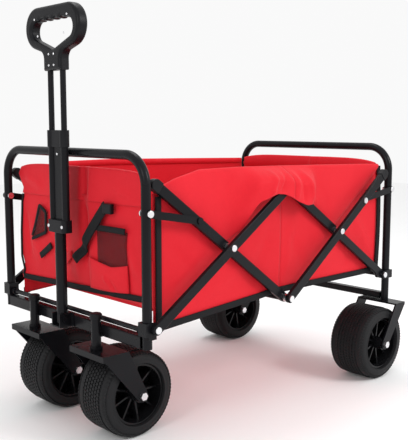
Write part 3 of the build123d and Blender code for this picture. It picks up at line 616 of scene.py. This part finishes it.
def band_side(x_from, x_to, side, count):
    """The upper band on one side, with the rim rolled over the wall's top."""
    xs = np.linspace(x_from, x_to, count)
    share = np.linspace(0, 1, 30)[:, None]
    x = np.tile(xs, (len(share), 1))
    low, rim = band_low_z(x), rim_z(x)
    z = low + share * (rim - low)
    drawn = smooth(x, -0.165, -0.069) * (1 - smooth(x, 0.060, 0.130))
    hang = 1 - share
    out = 0.0405 * drawn * np.sin(np.minimum(hang * 1.9, 1.0) * pi / 2)
    edge_calm = smooth(share, 0.0, 0.12) * (1 - smooth(share, 0.85, 1.0))
    folds = sum(crease(x, z, *one) for one in band_creases) * (0.25 + 0.75 * drawn) * edge_calm
    sag = 0.003 * np.sin(pi * share) * smooth(x, -0.33, -0.25)
    y = wall_y + 0.0022 + out + folds * 1.2 + sag * (1 - drawn) - pulled_in(x, z, side)
    roll = [(0.0012, -0.0012), (0.0018, -0.0035), (0.0004, -0.0055), (-0.012, -0.0060)]
    rolled = [np.stack([xs, y[-1] + dy, rim[-1] + dz], axis=1) for dz, dy in roll]
    grid = np.concatenate([np.stack([x, y, z], axis=2), np.array(rolled)], axis=0)
    grid[:, :, 1] *= side
    return grid


for end, x_from, x_to, frame_body, bar_body in (
    ("front", front_edge + 0.008, middle_x, "front_frame", "front_outer_bars"),
    ("rear", middle_x, rear_edge - 0.004, "rear_frame", "rear_inner_bars"),
):
    halves = []
    for side_name, side in (("left", -1), ("right", 1)):
        grid = band_side(x_from, x_to, side, 90)
        halves.append(cloth_sheet(f"{side_name}_{end}_band_cloth", grid, red_cloth, 0.0014))
    band = joined(f"{end}_upper_band", halves)
    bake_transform(band)
    if end == "front":
        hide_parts("top_pivot_flaps")

# ---- end panels: a red sheet between the legs at each end, puffed a little ----
# A cuff is turned over the top edge, and the front panel's lower edge is pulled up towards one corner.
panel_foot = 0.262
panel_top = 0.5465
cuff_z = 0.479
panel_sunk = 0.0015  # panel behind the basket's face


def panel_low_z(y):
    """The front panel's lower edge, pulled up towards the near corner."""
    return np.interp(y, (-0.238, -0.195, 0.077, 0.238), (0.297, 0.296, 0.286, 0.279))


def panel_relief(y, z, share, creases):
    """How far a panel stands out: puffed in the middle, with creases."""
    puff = 0.007 * np.sin(pi * np.clip((z - 0.25) / 0.33, 0, 1)) * (1 - share ** 4)
    folds = sum(crease(y, z, *one) for one in creases)
    return np.clip(puff + folds, -0.004, 0.0125)


def end_panel(face_x, toward, z_from, z_to, lift, creases):
    """A panel across the wagon; lift is how far it stands out from face_x."""
    share = np.linspace(-1, 1, 120)
    height = np.linspace(z_from, z_to, 60 if z_to - z_from > 0.1 else 22)
    y = share[None, :] * panel_outline(height)[:, None]
    z = np.tile(height[:, None], (1, len(share)))
    z = z - 0.010 * smooth(height[:, None], 0.50, panel_top) * np.abs(share[None, :]) ** 6
    x = face_x + toward * (lift + panel_relief(y, z, np.abs(share[None, :]), creases))
    return np.stack([x, y, z], axis=2)


front_creases = [
    ((-0.030, 0.31), (-0.026, 0.50), -0.012, 0.010),
    ((-0.105, 0.335), (-0.122, 0.318), 0.004, 0.004),
    ((-0.122, 0.330), (-0.140, 0.300), -0.004, 0.005),
    ((0.000, 0.27), (0.010, 0.40), 0.004, 0.016),
    ((-0.060, 0.28), (-0.130, 0.30), -0.003, 0.008),
    ((0.060, 0.28), (0.050, 0.36), -0.004, 0.014),
    ((0.140, 0.28), (0.190, 0.44), 0.003, 0.018),
    ((0.190, 0.30), (0.215, 0.46), -0.004, 0.012),
    ((-0.150, 0.45), (-0.215, 0.30), 0.003, 0.014),
]
cuff_creases = [
    ((-0.028, 0.450), (-0.030, 0.580), -0.011, 0.010),
    ((-0.120, 0.510), (-0.210, 0.490), 0.002, 0.008),
    ((0.120, 0.500), (0.215, 0.520), 0.004, 0.010),
    ((0.060, 0.470), (0.080, 0.550), 0.003, 0.012),
]
front_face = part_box("basket_front_panel")[0][0]
rear_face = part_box("basket_rear_panel")[1][0]
for end, face_x, toward in (("front", front_face, -1), ("rear", rear_face, 1)):
    body = f"{end}_frame"
    low_part = end_panel(face_x, toward, panel_foot, cuff_z + 0.012, -panel_sunk, front_creases)
    if end == "front":
        raised = panel_low_z(low_part[:, :, 1]) - panel_foot
        low_part[:, :, 2] += raised * (1 - smooth(low_part[:, :, 2], panel_foot, 0.400))
    panel = cloth_sheet(f"{end}_panel_cloth", low_part, red_cloth)
    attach(panel, body)
    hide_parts(f"basket_{end}_panel")
    cuff_part = end_panel(face_x, toward, cuff_z, panel_top, 0.0018, cuff_creases)
    top = cuff_part[-1]
    roll = [(0.0015, 0.0015), (0.0015, 0.0045), (-0.001, 0.006), (-0.045, 0.0065)]
    turned = [top + np.array([-toward * dx, 0, dz]) for dz, dx in roll]
    cuff = cloth_sheet(f"{end}_cuff_cloth", np.concatenate([cuff_part, np.array(turned)]), red_cloth, 0.0016)
    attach(cuff, body)

# ---- floor: a cloth-covered stiff board in two halves, bound in black webbing ----
# The front half rises to the front panel's lower edge; the rear half lies level.
floor_half = 0.2355


def floor_low_z(x):
    """The floor cloth's height."""
    return np.interp(x, (front_edge, -0.240, -0.040, rear_edge), (0.2800, 0.2700, 0.2640, 0.2640))


for end, x_from, x_to, body, anchor, keep in (
    ("front", front_edge, middle_x, "front_frame", front_edge, folded_front),
    ("rear", middle_x, rear_edge, "rear_frame", rear_edge, folded_rear),
):
    xs = np.linspace(x_from, x_to, 40)
    ys = np.linspace(-floor_half, floor_half, 60)
    x, y = np.meshgrid(xs, ys)
    waves = np.cos(y / floor_half * pi * 3) * np.sin((x - x_from) / (x_to - x_from) * pi)
    z = np.maximum(hem_low_z(x), floor_low_z(x)) + 0.0030 + 0.0012 * waves
    floor = cloth_sheet(f"{end}_floor_cloth", np.stack([x, y, z], axis=2), red_cloth, 0.004)
    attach(floor, body)
    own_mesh(floor)
    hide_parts(f"basket_{end}_floor")

# ---- binding: black tape over the walls' upright edges and lower edges ----
# It is sewn through the cloth, and closes up with the walls when the wagon folds.


def tape_along(name, route, outward_way, width, thick, material):
    """A flat tape centred on a route of points, its width square to outward_way."""
    route = np.asarray(route, float)
    ahead = np.gradient(route, axis=0)
    ahead /= np.linalg.norm(ahead, axis=1)[:, None]
    out = np.asarray(outward_way, float)
    sideways = np.cross(ahead, out)
    sideways /= np.linalg.norm(sideways, axis=1)[:, None]
    sides = np.linspace(-0.5, 0.5, 5)
    crown = (0.25 - sides ** 2) * thick * 1.6
    grid = np.stack([route + s * width * sideways + c * out for s, c in zip(sides, crown)], axis=0)
    return cloth_sheet(name, grid, material, thick)


def bind(name, pieces, body, fold_anchor=None):
    """Tapes as one piece on a body; one with an anchor gets its own copy of its mesh."""
    tape_piece = joined(name, pieces)
    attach(tape_piece, body)
    if fold_anchor is not None:
        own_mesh(tape_piece)
    return tape_piece


# Each corner: where its tape starts, its top, its place along X and how far it bows to the rear.
corners = {
    "front": (front_edge, 0.500, front_edge + 0.0105, 0.0),
    "rear": (rear_edge, 0.531, rear_edge - 0.004, 0.006),
}
for end, x_from, x_to, body, anchor, keep in (
    ("front", front_edge, middle_x, "front_frame", front_edge, folded_front),
    ("rear", middle_x, rear_edge, "rear_frame", rear_edge, folded_rear),
):
    edges, uprights = [], []
    for side in (-1, 1):
        xs = np.linspace(x_from, x_to, 40)
        low_z = hem_low_z(xs) + 0.0055
        low = np.stack([xs, side * (wall_y + 0.0022 - pulled_in(xs, low_z, side)), low_z], axis=1)
        edges.append(tape_along(f"{end}_edge_{side}", low, (0, side, 0), 0.0135, 0.0022, webbing))
        corner_x, top_z, at, bow = corners[end]
        zs = np.linspace(hem_low_z(corner_x) - 0.002, top_z, 40)
        bowed = at + bow * np.sin(pi * (zs - zs[0]) / (zs[-1] - zs[0]))
        up = np.stack([bowed, side * (wall_y + 0.0040 - pulled_in(bowed, zs, side)), zs], axis=1)
        uprights.append(tape_along(f"{end}_upright_{side}", up, (0, side, 0), 0.0135, 0.0024, webbing))
    bind(f"{end}_floor_edge_binding", edges, body, anchor)
    bind(f"{end}_corner_binding", uprights, body)

# ---- front panel's binding: narrow black tape sewn over its lower edge and up both sides ----
# It ends under the cuff, and follows the panel's puffed face.
def on_panel(y, z, out):
    """Points standing out from the front panel's puffed face."""
    y, z = np.broadcast_arrays(np.asarray(y, float), np.asarray(z, float))
    share = np.clip(np.abs(y) / panel_outline(z), 0, 1)
    relief = panel_relief(y, z, share, front_creases)
    return np.stack([front_face + panel_sunk - relief - out, y, z], axis=-1)


ys = np.linspace(-0.228, 0.228, 60)
forward = (-1, 0, 0)
low_route = on_panel(ys, panel_low_z(ys) + 0.004, 0.0020)
edge_tapes = [tape_along("front_low", low_route, forward, 0.012, 0.0024, webbing)]
for side in (-1, 1):
    zs = np.linspace(0.288, 0.476, 50)
    at = on_panel(side * (panel_outline(zs) - 0.002), zs, 0.0022)
    edge_tapes.append(tape_along(f"panel_edge_{side}", at, forward, 0.006, 0.0022, webbing))
bind("front_panel_binding", edge_tapes, "front_frame")

# ---- front pockets: open black net, a red pouch and flap, black tapes and a plastic buckle ----
# They are sewn to the front panel. The net lets the red behind it show through.
pocket_net, tree, shader = finish_of("pocket_net", (0.008, 0.008, 0.009), 0.6, specular_level=0.2)
where = add_node(tree, "ShaderNodeTexCoord").out("Object")
parts = add_node(tree, "ShaderNodeSeparateXYZ", None, {"Vector": where})
thread_y = (parts.out("Y") * (2 * pi / 0.0022)).math("SINE")
thread_z = (parts.out("Z") * (2 * pi / 0.0022)).math("SINE")
holes = (thread_y * thread_z).math("ABSOLUTE").math("GREATER_THAN", 0.16)
link(tree, holes * -0.90 + 1.0, shader, "Alpha")


def patch(name, ys, low, high, out, material, thick=cloth_thick, rows=16):
    """A sheet on the front panel between two heights, standing out most in its middle."""
    ys = np.asarray(ys, float)
    share = np.linspace(0, 1, rows)[:, None]
    z = low[None, :] + share * (high - low)[None, :]
    y = np.tile(ys, (rows, 1))
    swell_across = np.sin(pi * np.linspace(0, 1, len(ys)))[None, :] ** 0.6
    swell_up = np.sin(pi * (0.12 + 0.76 * share)) ** 0.6
    points = on_panel(y, z, 0.0026 + out * swell_across * swell_up)
    return cloth_sheet(name, points, material, thick)


# The near pocket: a net above a red pouch, with an elastic band over its mouth.
net_y = np.linspace(-0.175, -0.077, 24)
near_net = patch("near_pocket_net", net_y, np.full(24, 0.340), np.full(24, 0.426), 0.006, pocket_net, 0.0008)
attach(near_net, "front_frame")
pouch_y = np.linspace(-0.175, -0.046, 30)
pouch_top = np.interp(
    pouch_y, (-0.175, -0.168, -0.1285, -0.092, -0.046), (0.3620, 0.3600, 0.3530, 0.3580, 0.3645)
)
pouch_low = np.interp(pouch_y, (-0.175, -0.110, -0.046), (0.3060, 0.3010, 0.2990))
pouch = patch("near_pocket_pouch", pouch_y, pouch_low, pouch_top, 0.010, red_cloth, 0.0014)
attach(pouch, "front_frame")

# The far pocket: a small net of four sides between bound edges, and a red flap below it.
far_y = np.linspace(0.111, 0.168, 16)
far_low = np.interp(far_y, (0.111, 0.113, 0.168), (0.4000, 0.3980, 0.3790))
far_top = np.interp(far_y, (0.111, 0.139, 0.168), (0.4430, 0.4565, 0.3860))
far_net = patch("far_pocket_net", far_y, far_low, far_top, 0.004, pocket_net, 0.0008)
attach(far_net, "front_frame")
flap_y = np.linspace(0.012, 0.040, 10)
flap = patch("far_pocket_flap", flap_y, np.linspace(0.3540, 0.3340, 10), np.linspace(0.3700, 0.3560, 10),
             0.004, red_cloth, 0.0014, 8)
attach(flap, "front_frame")


def route_on_panel(points, out, count=30):
    """A route over the front panel through (y, z) points."""
    points = np.asarray(points, float)
    steps = np.concatenate([[0], np.cumsum(np.linalg.norm(np.diff(points, axis=0), axis=1))])
    walk = np.linspace(0, steps[-1], count)
    return on_panel(np.interp(walk, steps, points[:, 0]), np.interp(walk, steps, points[:, 1]), out)


# Pocket tapes: the elastic over the near pocket, the far net's edges and the two straps.
tapes = [
    tape_along(name, route_on_panel(points, out), forward, wide, thick, webbing)
    for name, points, out, wide, thick in (
        ("elastic", [(-0.077, 0.429), (-0.175, 0.429)], 0.0085, 0.012, 0.0022),
        ("far_top_edge", [(0.168, 0.386), (0.139, 0.4565), (0.111, 0.443)], 0.0055, 0.007, 0.0020),
        ("far_low_edge", [(0.111, 0.443), (0.113, 0.398), (0.168, 0.379)], 0.0060, 0.007, 0.0020),
        ("far_strap", [(0.094, 0.3715), (0.140, 0.343)], 0.0045, 0.014, 0.0020),
        ("near_strap", [(-0.118, 0.476), (-0.070, 0.425), (-0.008, 0.354)], 0.0115, 0.022, 0.0022),
    )
]
bind("pocket_tapes", tapes, "front_frame")

# The buckle: a side-release block of black plastic where the strap meets the cuff.
buckle_at = on_panel(-0.126, 0.470, 0.012)
buckle = new_object("strap_buckle", [(0, 0, 0)], [], satin_plastic)
work = bmesh.new()
bmesh.ops.create_cube(work, size=1)
bmesh.ops.scale(work, vec=(0.010, 0.028, 0.020), verts=work.verts)
bmesh.ops.bevel(work, geom=list(work.edges), offset=0.0025, segments=3, profile=0.5, affect="EDGES")
bmesh.ops.translate(work, vec=tuple(buckle_at), verts=work.verts)
work.to_mesh(buckle.data)
work.free()
buckle.data.materials.clear()
buckle.data.materials.append(satin_plastic)
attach(buckle, "front_frame")

# ---- small screws and rivets: bright domed steel heads on the front of the handle ----
# Screws hold the grip's shells together, and rivets hold the clamp and the sleeve.
def stud_tree():
    """A low dome on each point of the piece, facing one way."""
    tree = bpy.data.node_groups.new("studs", "GeometryNodeTree")
    face = tree.interface
    face.new_socket("Geometry", in_out="OUTPUT", socket_type="NodeSocketGeometry")
    kinds = {"Geometry": "Geometry", "Head": "Float", "Facing": "Vector", "Metal": "Material"}
    for name, kind in kinds.items():
        face.new_socket(name, in_out="INPUT", socket_type=f"NodeSocket{kind}")
    given = add_node(tree, "NodeGroupInput")
    ball = add_node(tree, "GeometryNodeMeshUVSphere", None, {
        "Segments": 20, "Rings": 10, "Radius": given.out("Head")
    })
    flat = add_node(tree, "GeometryNodeTransform", None, {
        "Geometry": ball.out("Mesh"), "Scale": (1, 1, 0.45)
    })
    turned = add_node(tree, "FunctionNodeAlignRotationToVector", {"axis": "Z"}, {
        "Vector": given.out("Facing")
    })
    placed = add_node(tree, "GeometryNodeInstanceOnPoints", None, {
        "Points": given.out("Geometry"), "Instance": flat.out("Geometry"), "Rotation": turned.out("Rotation")
    })
    real = add_node(tree, "GeometryNodeRealizeInstances", None, {"Geometry": placed.out("Instances")})
    coated = add_node(tree, "GeometryNodeSetMaterial", None, {
        "Geometry": real.out("Geometry"), "Material": given.out("Metal")
    })
    add_node(tree, "NodeGroupOutput", None, {"Geometry": coated.out("Geometry")})
    return tree


stud = stud_tree()
grip_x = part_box("grip_front_shell")[0][0]
clamp_low, clamp_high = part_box("handle_clamp")
clamp_z = (clamp_low[2] + clamp_high[2]) / 2
rivet_y = clamp_high[1] - 0.0065
sleeve_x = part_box("handle_sleeve")[0][0]
screw_places = [
    (side * y, z)
    for y, z in ((0.059, 0.846), (0.048, 0.812), (0.009, 0.774), (0.009, 0.752))
    for side in (-1, 1)
]
for name, body, head, places in (
    ("grip_screws", "grip", 0.0024, [(grip_x, y, z) for y, z in screw_places]),
    ("clamp_rivets", "handle", 0.0036, [(clamp_low[0], y, clamp_z) for y in (-rivet_y, rivet_y)]),
    ("sleeve_rivet", "handle", 0.0026, [(sleeve_x, -0.006, 0.575)]),
):
    values = {"Head": head, "Facing": forward, "Metal": bright_zinc}
    studs = grown(name, stud, values, bright_zinc, places)
    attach(studs, body)

# ---- studio floor: a plain pale sheet, only for the picture ----
floor_paint = finish_of("studio_floor", (0.93, 0.93, 0.93), 0.9)[0]
floor_corners = [(-6, -6, 0), (6, -6, 0), (6, 6, 0), (-6, 6, 0)]
new_object("studio_floor", floor_corners, [(0, 1, 2, 3)], floor_paint)
